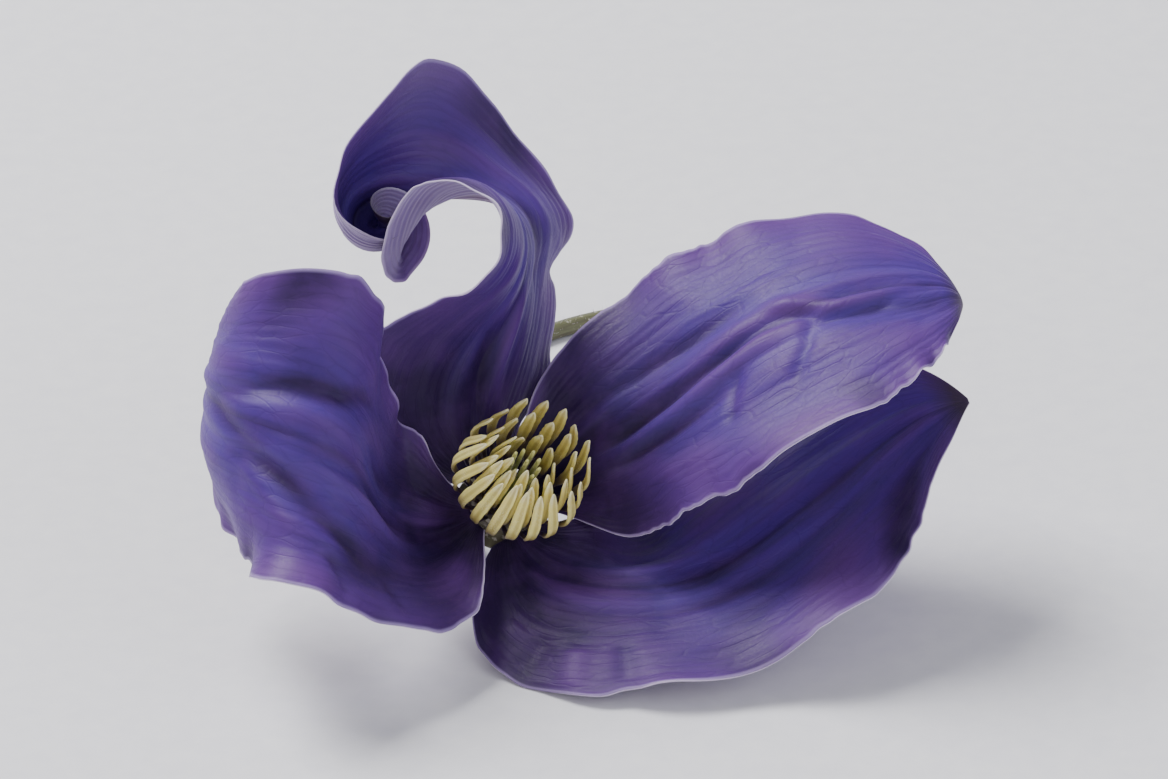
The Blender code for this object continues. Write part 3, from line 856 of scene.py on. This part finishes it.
def lower_face(colours):
    """Clematis tepal, lower face: paler, downy, with a plum bar of three nerves along the middle."""
    made, tree, place = new_material("clematis_tepal_downy_lower_face")
    coordinates, across, along = blade_coordinates(tree)
    spread = spread_from_midrib(tree, across)
    lines, net = nerves(tree, coordinates, place)
    # The bar is widest near the stalk and runs out at the point.
    width = add(tree, RANGE, {"Value": along, "To Min": 0.42, "To Max": 0.1})
    inside = add(tree, MATH, {0: spread, 1: width}, operation="DIVIDE")
    bar = add(tree, RAMP, {"Fac": inside}, ((0.55, 1.0), (1.0, 0.0)))
    stops = ((0.0, 0.6), (0.08, 0.1), (0.45, 0.0), (0.55, 0.5), (0.65, 0.0))
    ribs = add(tree, RAMP, {"Fac": inside}, stops)
    nerve = add(tree, RAMP, {"Fac": lines}, ((0.55, 0.0), (0.95, 1.0)))
    cloud = add(tree, NOISE, {"Vector": place, "Scale": 0.2 / MM, "Detail": 4.0})
    # White down lines both margins, and the point dries as on the upper face.
    layers = (
        (bar, colours.bar),
        (ribs, colours.rib),
        (add(tree, MATH, {0: nerve, 1: 0.18}, operation="MULTIPLY"), colours.bar),
        (add(tree, MATH, {0: net, 1: 0.2}, operation="MULTIPLY"), colours.bar),
        (add(tree, RAMP, {"Fac": cloud}, ((0.45, 0.0), (0.75, 0.5))), colours.margin),
        (add(tree, RAMP, {"Fac": spread}, ((0.955, 0.0), (0.99, 0.75))), colours.down),
        (add(tree, RAMP, {"Fac": along}, ((0.9, 0.0), (0.97, 0.85))), colours.dry),
    )
    body = colours.back
    for factor, colour in layers:
        body = add(tree, MIX, {"Factor": factor, "A": body, "B": colour}, data_type="RGBA")
    # Down, drawn about 0.2 mm wide so that it shows.
    felt = add(tree, NOISE, {"Vector": place, "Scale": 4.2 / MM, "Detail": 3.0})
    relief = add(tree, BUMP, {"Height": felt, "Strength": 0.4, "Distance": 0.08 * MM})
    relief = add(tree, BUMP, {"Height": lines, "Strength": 0.6, "Distance": 0.15 * MM, "Normal": relief})
    sockets = {
        "Base Color": body,
        "Roughness": add(tree, RANGE, {"Value": felt, "To Min": 0.55, "To Max": 0.8}),
        "Normal": relief,
        "Sheen Weight": 0.5,
        "Sheen Roughness": 0.6,
        "Sheen Tint": linear("#dcd2ea"),
        "Subsurface Weight": 0.12,
        "Subsurface Radius": (0.8, 0.4, 1.0),
        "Subsurface Scale": 0.8 * MM,
    }
    add(tree, "ShaderNodeOutputMaterial", {"Surface": add(tree, PRINCIPLED, sockets)})
    return made


def anther_tissue(colours):
    """Stamen: a waxy purple-based filament under a yellow anther that is dusted with pollen."""
    made, tree, place = new_material("clematis_stamen_waxy_filament_and_pollen")
    _, across, along = blade_coordinates(tree)
    stops = (
        (0.0, colours.filament_base),
        (0.34, colours.filament_base),
        (0.44, colours.filament),
        (0.6, colours.anther),
        (0.86, colours.anther),
        (0.96, colours.anther_tip),
    )
    body = add(tree, RAMP, {"Fac": along}, stops)
    # Each sac splits along a browner seam.
    turn = add(tree, MATH, {0: across, 1: 2 * math.pi}, operation="MULTIPLY")
    sine = add(tree, MATH, {0: turn}, operation="SINE")
    side = add(tree, MATH, {0: sine}, operation="ABSOLUTE")
    seam = add(tree, RAMP, {"Fac": side}, ((0.9, 0.0), (0.99, 0.55)))
    on_anther = add(tree, RAMP, {"Fac": along}, ((0.4, 0.0), (0.5, 1.0)))
    # Pollen grains, drawn some 0.12 mm wide so that they show.
    dust = add(tree, VORONOI, {"Vector": place, "Scale": 8.0 / MM})
    grain = add(tree, RAMP, {"Fac": dust}, ((0.18, 1.0), (0.42, 0.0)))
    # It clings in patches of some 1.4 mm, and the sacs' own tone varies over about 2 mm.
    patch = add(tree, NOISE, {"Vector": place, "Scale": 0.7 / MM, "Detail": 3.0})
    patchy = add(tree, RAMP, {"Fac": patch}, ((0.4, 0.0), (0.6, 1.0)))
    dusty_part = add(tree, RAMP, {"Fac": along}, ((0.4, 0.0), (0.55, 0.9)))
    dusted = add(tree, MATH, {0: grain, 1: patchy}, operation="MULTIPLY")
    dusted = add(tree, MATH, {0: dusted, 1: dusty_part}, operation="MULTIPLY")
    shade = add(tree, NOISE, {"Vector": place, "Scale": 0.45 / MM, "Detail": 2.0})
    layers = (
        (add(tree, MATH, {0: seam, 1: on_anther}, operation="MULTIPLY"), colours.seam),
        (dusted, colours.pollen),
        (add(tree, RAMP, {"Fac": shade}, ((0.5, 0.0), (0.8, 0.3))), colours.seam),
    )
    for factor, colour in layers:
        body = add(tree, MIX, {"Factor": factor, "A": body, "B": colour}, data_type="RGBA")
    sockets = {
        "Base Color": body,
        "Roughness": add(tree, RANGE, {"Value": patch, "To Min": 0.4, "To Max": 0.7}),
        "Normal": add(tree, BUMP, {"Height": dusted, "Strength": 0.5, "Distance": 0.05 * MM}),
        "Subsurface Weight": 0.35,
        "Subsurface Radius": (1.0, 0.8, 0.3),
        "Subsurface Scale": 0.6 * MM,
    }
    add(tree, "ShaderNodeOutputMaterial", {"Surface": add(tree, PRINCIPLED, sockets)})
    return made


def style_tissue(colours):
    """Pistil: a silky green style with a paler knob."""
    made, tree, place = new_material("clematis_style_silky_green")
    _, _, along = blade_coordinates(tree)
    body = add(tree, RAMP, {"Fac": along}, ((0.7, colours.style), (0.92, colours.stigma)))
    # Silky streaks, drawn about 0.6 mm long so that they show.
    streak = add(tree, NOISE, {"Vector": place, "Scale": 1.6 / MM, "Detail": 3.0})
    streaked = add(tree, RAMP, {"Fac": streak}, ((0.45, 0.0), (0.7, 0.6)))
    body = add(tree, MIX, {"Factor": streaked, "A": body, "B": colours.style_shade}, data_type="RGBA")
    sockets = {
        "Base Color": body,
        "Roughness": add(tree, RANGE, {"Value": streak, "To Min": 0.4, "To Max": 0.65}),
        "Normal": add(tree, BUMP, {"Height": streak, "Strength": 0.4, "Distance": 0.05 * MM}),
        "Sheen Weight": 0.3,
    }
    add(tree, "ShaderNodeOutputMaterial", {"Surface": add(tree, PRINCIPLED, sockets)})
    return made


def hair_tissue(colours):
    """Plant hair: a hollow white hair that catches the light."""
    made, tree, place = new_material("clematis_silky_hair")
    # Hairs vary from grey to white over about a millimetre.
    tone = add(tree, NOISE, {"Vector": place, "Scale": 0.9 / MM, "Detail": 2.0})
    sockets = {
        "Base Color": add(tree, RAMP, {"Fac": tone}, ((0.3, colours.hair), (0.7, colours.down))),
        "Roughness": add(tree, RANGE, {"Value": tone, "To Min": 0.35, "To Max": 0.55}),
    }
    add(tree, "ShaderNodeOutputMaterial", {"Surface": add(tree, PRINCIPLED, sockets)})
    return made


def stalk_skin(colours, crown):
    """Clematis stalk: ribbed green skin flushed purple, woody brown along its furrows, waxy."""
    made, tree, place = new_material("clematis_stalk_ribbed_skin")
    coordinates, across, along = blade_coordinates(tree)
    stops = ((0.0, colours.seat), (crown, colours.stalk), (0.3, colours.stalk_flush), (0.7, colours.stalk))
    body = add(tree, RAMP, {"Fac": along}, stops)
    # Six ribs, greener on their backs than in the furrows between.
    turns = add(tree, MATH, {0: across, 1: 2 * math.pi * STALK_RIBS}, operation="MULTIPLY")
    furrow = add(tree, MATH, {0: turns}, operation="SINE")
    # Fibres some 0.1 mm wide and 2.5 mm long, and flecks drawn about 0.7 mm wide so that they show.
    fibres = add(tree, MAPPING, {"Vector": coordinates, "Scale": (60.0, 40.0, 1.0)})
    streak = add(tree, NOISE, {"Vector": fibres, "Scale": 1.0, "Detail": 4.0})
    fleck = add(tree, NOISE, {"Vector": place, "Scale": 1.4 / MM, "Detail": 2.0})
    layers = (
        (add(tree, RAMP, {"Fac": furrow}, ((0.2, 0.0), (0.95, 0.5))), colours.stalk_furrow),
        (add(tree, RAMP, {"Fac": streak}, ((0.45, 0.0), (0.75, 0.6))), colours.stalk_furrow),
        (add(tree, RAMP, {"Fac": fleck}, ((0.62, 0.0), (0.7, 0.5))), colours.hair),
    )
    for factor, colour in layers:
        body = add(tree, MIX, {"Factor": factor, "A": body, "B": colour}, data_type="RGBA")
    sockets = {
        "Base Color": body,
        "Roughness": add(tree, RANGE, {"Value": streak, "To Min": 0.38, "To Max": 0.62}),
        "Normal": add(tree, BUMP, {"Height": streak, "Strength": 0.5, "Distance": 0.1 * MM}),
        "Sheen Weight": 0.2,
    }
    add(tree, "ShaderNodeOutputMaterial", {"Surface": add(tree, PRINCIPLED, sockets)})
    return made


def table_top(colour):
    """Painted table top: matt paint, rolled on, with a barely visible stipple."""
    made, tree, place = new_material("matt_painted_table")
    # The roller leaves a stipple some 3 mm wide.
    stipple = add(tree, NOISE, {"Vector": place, "Scale": 0.35 / MM, "Detail": 3.0})
    worn = add(tree, RAMP, {"Fac": stipple}, ((0.3, 0.0), (0.7, 0.5)))
    body = add(tree, MIX, {"Factor": worn, "A": colour, "B": linear("#e9e8ea")}, data_type="RGBA")
    sockets = {
        "Base Color": body,
        "Roughness": 0.7,
        "Normal": add(tree, BUMP, {"Height": stipple, "Strength": 0.15, "Distance": 0.2 * MM}),
    }
    add(tree, "ShaderNodeOutputMaterial", {"Surface": add(tree, PRINCIPLED, sockets)})
    return made


# Settings -------------------------------------------------------------------------------------------


def colour_property(name, default, description):
    """A colour with an sRGB hex default."""
    return bpy.props.FloatVectorProperty(
        name=name, description=description, default=linear(default), size=4, min=0, max=1, subtype="COLOR"
    )


class ClematisColours(bpy.types.PropertyGroup):
    """Colours of every surface."""

    # Painted shade: the near black throat of the tepal's upper face, where the stamens shade it.
    throat_shade: colour_property("Throat", "#170b29", "Tepal colour right by the stamens")
    # Painted shade in the lower part of the tepal, in the hollows between folds and along the midrib furrow;
    # also the real darker colour of the nerves and their net.
    shade: colour_property("Shade", "#230f3d", "Tepal colour in its lower third and along dark nerves")
    blade: colour_property("Blade", "#3d2475", "Tepal colour over its middle")
    blade_tip: colour_property("Blade tip", "#452b7e", "Tepal colour near its point")
    # Also painted onto the folds that stand up, as light shining through them; elsewhere the real redder
    # colour of the margins and of the pale patches.
    margin: colour_property("Margin", "#593378", "Redder tepal colour along the margins")
    # Painted highlight on the two ribs of the upper face; on the lower face, the real colour of the nerves in
    # the plum bar.
    rib: colour_property("Rib", "#513b8d", "Two pale ribs beside the midrib")
    edge: colour_property("Edge", "#a995c4", "Thin pale line round the margin")
    dry: colour_property("Dry point", "#3a2c3a", "The dried point of a tepal")
    back: colour_property("Back", "#846ea2", "Tepal colour on its lower face")
    bar: colour_property("Bar", "#5b2f5c", "Plum bar along the lower face")
    down: colour_property("Down", "#cdc1da", "White down on the margins")
    filament_base: colour_property("Filament base", "#3a2647", "Filament where it grows from the receptacle")
    filament: colour_property("Filament", "#8f7f5c", "Filament above its base")
    anther: colour_property("Anther", "#f1e48c", "Pollen sacs")
    anther_tip: colour_property("Anther tip", "#ece5b8", "Tip beyond the pollen sacs")
    seam: colour_property("Seam", "#b3a24a", "Split seam of the sacs and their shaded parts")
    pollen: colour_property("Pollen", "#fbf5c8", "Pollen dust")
    style: colour_property("Style", "#9ba24c", "Pistil")
    style_shade: colour_property("Style shade", "#5d6630", "Darker streaks on a pistil")
    stigma: colour_property("Stigma", "#d6d683", "Tip of a pistil")
    hair: colour_property("Hair", "#cfc9bb", "Hairs of styles and stalk")
    seat: colour_property("Seat", "#4c4038", "Receptacle under the flower")
    stalk: colour_property("Stalk", "#5d5f3c", "Stalk")
    stalk_flush: colour_property("Stalk flush", "#5a4350", "Purple flush of the stalk")
    stalk_furrow: colour_property("Stalk furrow", "#3c3326", "Brown furrows of the stalk")


class ClematisTepalSizes(bpy.types.PropertyGroup):
    """Sizes of the four tepals."""

    thickness: bpy.props.FloatProperty(
        name="Thickness", default=0.48 * MM, unit="LENGTH", description="Thickness of a tepal by its midrib"
    )
    relief: bpy.props.FloatProperty(
        name="Relief", default=1.0, subtype="FACTOR", description="How strongly nerves and ruffles stand out"
    )
    rows: bpy.props.IntProperty(name="Rows", default=169, description="Rows of points from base to tip")
    columns: bpy.props.IntProperty(
        name="Columns", default=96, description="Columns of faces from margin to margin"
    )


class ClematisStalkSizes(bpy.types.PropertyGroup):
    """Sizes of the stalk and its hairs."""

    rows: bpy.props.IntProperty(name="Rows", default=260, description="Rows of points along the bare stalk")
    hairs: bpy.props.IntProperty(name="Hairs", default=1500, description="Hairs on stalk and receptacle")
    hair_length: bpy.props.FloatProperty(
        name="Hair length", default=0.7 * MM, unit="LENGTH", description="Length of a stalk hair"
    )


class ClematisStageSizes(bpy.types.PropertyGroup):
    """The table, the camera and the lights."""

    table: bpy.props.FloatProperty(
        name="Table", default=3.0, unit="LENGTH", description="Width of the table top"
    )
    table_colour: colour_property("Table colour", "#dedde2", "Colour of the table top")
    elevation: bpy.props.FloatProperty(
        name="Elevation", default=math.radians(30), subtype="ANGLE", description="Camera's height as an angle"
    )
    distance: bpy.props.FloatProperty(
        name="Distance", default=0.9, unit="LENGTH", description="Camera to flower"
    )
    lens: bpy.props.FloatProperty(name="Lens", default=250.0, unit="CAMERA", description="Focal length")


# Operators ------------------------------------------------------------------------------------------


class CLEMATIS_OT_tepals(bpy.types.Operator):
    """Build the four tepals with their nerves, puckers and ruffled margins"""

    bl_idname = "clematis.tepals"
    bl_label = "Tepals"

    def execute(self, context):
        scene = context.scene
        materials = [upper_face(scene.clematis_colours), lower_face(scene.clematis_colours)]
        for i, (name, shape) in enumerate(TEPALS.items()):
            draw = random.Random(SEED + 10 + i)
            points, faces, slots, maps = tepal_mesh(name, shape, draw, scene.clematis_tepals)
            points = placed(points)
            points[:, 2] = np.interp(points[:, 2], *SETTLING)
            piece = add_piece(name + "_blade", points, faces, materials, slots, maps)
            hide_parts(name)
        return {"FINISHED"}


class CLEMATIS_OT_stamens(bpy.types.Operator):
    """Build every stamen and pistil, and the silky hairs of the pistils"""

    bl_idname = "clematis.stamens"
    bl_label = "Stamens and pistils"

    def execute(self, context):
        colours = context.scene.clematis_colours
        tissue = anther_tissue(colours)
        made, draw = all_stamens()
        for i, (points, faces, blade) in enumerate(made):
            name = f"stamen_{i + 1:02d}"
            piece = add_piece(name + "_fine", placed(points), faces, [tissue], maps={"blade": blade})
            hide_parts(name)
        silk = style_tissue(colours)
        hairs = hair_tissue(colours)
        hair_draw = random.Random(SEED + 30)
        roots = []
        ways = []
        for i, (points, faces, blade, centres, widths) in enumerate(all_pistils(draw)):
            name = f"pistil_{i + 1:02d}"
            piece = add_piece(name + "_fine", placed(points), faces, [silk], maps={"blade": blade})
            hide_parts(name)
            for _ in range(PISTIL_HAIRS):
                row = hair_draw.randrange(2, PISTIL_ROWS - 4)
                angle = hair_draw.uniform(0, 2 * math.pi)
                out = np.array([math.cos(angle), math.sin(angle), 0])
                roots.append(centres[row] + out * widths[row] * 0.9)
                ways.append(out * 0.16 + UP)
        points, faces = hair_mesh(roots, ways, PISTIL_HAIR_LENGTH, HAIR_WIDTH, hair_draw)
        piece = add_piece("pistil_hairs", placed(points), faces, [hairs])
        return {"FINISHED"}


class CLEMATIS_OT_stalk(bpy.types.Operator):
    """Build the receptacle and the ribbed stalk, with their short hairs"""

    bl_idname = "clematis.stalk"
    bl_label = "Stalk"

    def execute(self, context):
        scene = context.scene
        sizes = scene.clematis_stalk
        draw = random.Random(SEED + 40)
        points, faces, blade, crown = stalk_mesh(draw, sizes)
        skin = stalk_skin(scene.clematis_colours, crown)
        piece = add_piece("stalk_skin", points, faces, [skin], maps={"blade": blade})
        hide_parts("stalk")
        roots = []
        ways = []
        count = len(points) // STALK_SIDES
        for _ in range(sizes.hairs):
            # More of the hairs sit near the flower than near the cut end.
            row = int(count * draw.random() ** 1.6 * 0.97) + 1
            side = draw.randrange(STALK_SIDES)
            ring = points[row * STALK_SIDES : (row + 1) * STALK_SIDES]
            root = ring[side]
            out = root - ring.mean(axis=0)
            if blade[row * STALK_SIDES, 1] < crown * 0.45 or root[2] < LOWEST_HAIR_ROOT:
                continue
            roots.append(root - out * 0.03)
            ways.append(out / np.linalg.norm(out) + 0.5 * np.array([draw.uniform(-1, 1) for _ in range(3)]))
        hairs, hair_faces = hair_mesh(roots, ways, sizes.hair_length / MM, HAIR_WIDTH, draw)
        hairs[:, 2] = np.maximum(hairs[:, 2], HAIR_CLEARANCE)
        piece = add_piece("stalk_hairs", hairs, hair_faces, [hair_tissue(scene.clematis_colours)])
        return {"FINISHED"}


class CLEMATIS_OT_stage(bpy.types.Operator):
    """Set out the table, the soft lights and the camera"""

    bl_idname = "clematis.stage"
    bl_label = "Stage"

    def execute(self, context):
        scene = context.scene
        stage = scene.clematis_stage
        half = stage.table / 2
        mesh = bpy.data.meshes.new("table_top")
        corners = [(-half, -half, 0), (half, -half, 0), (half, half, 0), (-half, half, 0)]
        mesh.from_pydata(corners, [], [(0, 1, 2, 3)])
        mesh.materials.append(table_top(stage.table_colour))
        table = bpy.data.objects.new("table_top", mesh)
        context.collection.objects.link(table)
        world = bpy.data.worlds.new("studio_air")
        world.use_nodes = True
        background = world.node_tree.nodes["Background"].inputs
        background["Color"].default_value = linear(AIR_COLOUR)
        background["Strength"].default_value = AIR_STRENGTH
        scene.world = world
        for softbox in LIGHTS:
            self.light(context, *softbox)
        low, high = (Vector(corner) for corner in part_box("tepal_right"))
        far_low, far_high = (Vector(corner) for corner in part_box("tepal_left"))
        target = Vector(((far_low.x + high.x) / 2, (low.y + far_high.y) / 2, AIM_HEIGHT))
        data = bpy.data.cameras.new("studio_camera")
        data.lens = stage.lens
        data.clip_start = 0.01
        camera = bpy.data.objects.new("studio_camera", data)
        context.collection.objects.link(camera)
        back = Vector((0, -math.cos(stage.elevation), math.sin(stage.elevation)))
        camera.location = target + back * stage.distance
        camera.rotation_euler = (-back).to_track_quat("-Z", "Y").to_euler()
        scene.camera = camera
        return {"FINISHED"}

    def light(self, context, name, place, size, power, colour):
        """One square softbox that faces the flower."""
        data = bpy.data.lights.new(name, "AREA")
        data.size = size
        data.energy = power
        data.color = linear(colour)[:3]
        lamp = bpy.data.objects.new(name, data)
        lamp.location = place
        lamp.rotation_euler = (-Vector(place)).to_track_quat("-Z", "Y").to_euler()
        context.collection.objects.link(lamp)


class CLEMATIS_PT_panel(bpy.types.Panel):
    """Lists every step of the flower"""

    bl_idname = "CLEMATIS_PT_panel"
    bl_label = "Clematis Flower"
    bl_space_type = "VIEW_3D"
    bl_region_type = "UI"
    bl_category = "Clematis"

    def draw(self, context):
        for name, group in GROUPS.items():
            box = self.layout.box()
            for key in group.__annotations__:
                box.prop(getattr(context.scene, name), key)
        for operator in OPERATORS:
            self.layout.operator(operator.bl_idname)


OPERATORS = (CLEMATIS_OT_tepals, CLEMATIS_OT_stamens, CLEMATIS_OT_stalk, CLEMATIS_OT_stage)
GROUPS = {
    "clematis_tepals": ClematisTepalSizes,
    "clematis_stalk": ClematisStalkSizes,
    "clematis_stage": ClematisStageSizes,
    "clematis_colours": ClematisColours,
}


def register():
    """Adds the settings, the operators and the panel to Blender."""
    for made in (*GROUPS.values(), *OPERATORS, CLEMATIS_PT_panel):
        bpy.utils.register_class(made)
    for name, group in GROUPS.items():
        setattr(bpy.types.Scene, name, bpy.props.PointerProperty(type=group))


def unregister():
    """Takes them out again."""
    for name in GROUPS:
        delattr(bpy.types.Scene, name)
    for made in (CLEMATIS_PT_panel, *reversed(OPERATORS), *reversed(GROUPS.values())):
        bpy.utils.unregister_class(made)


def main():
    """Builds the flower and its stage."""
    register()
    for operator in OPERATORS:
        getattr(bpy.ops.clematis, operator.bl_idname.split(".")[1])()


if __name__ == "__main__":
    main()
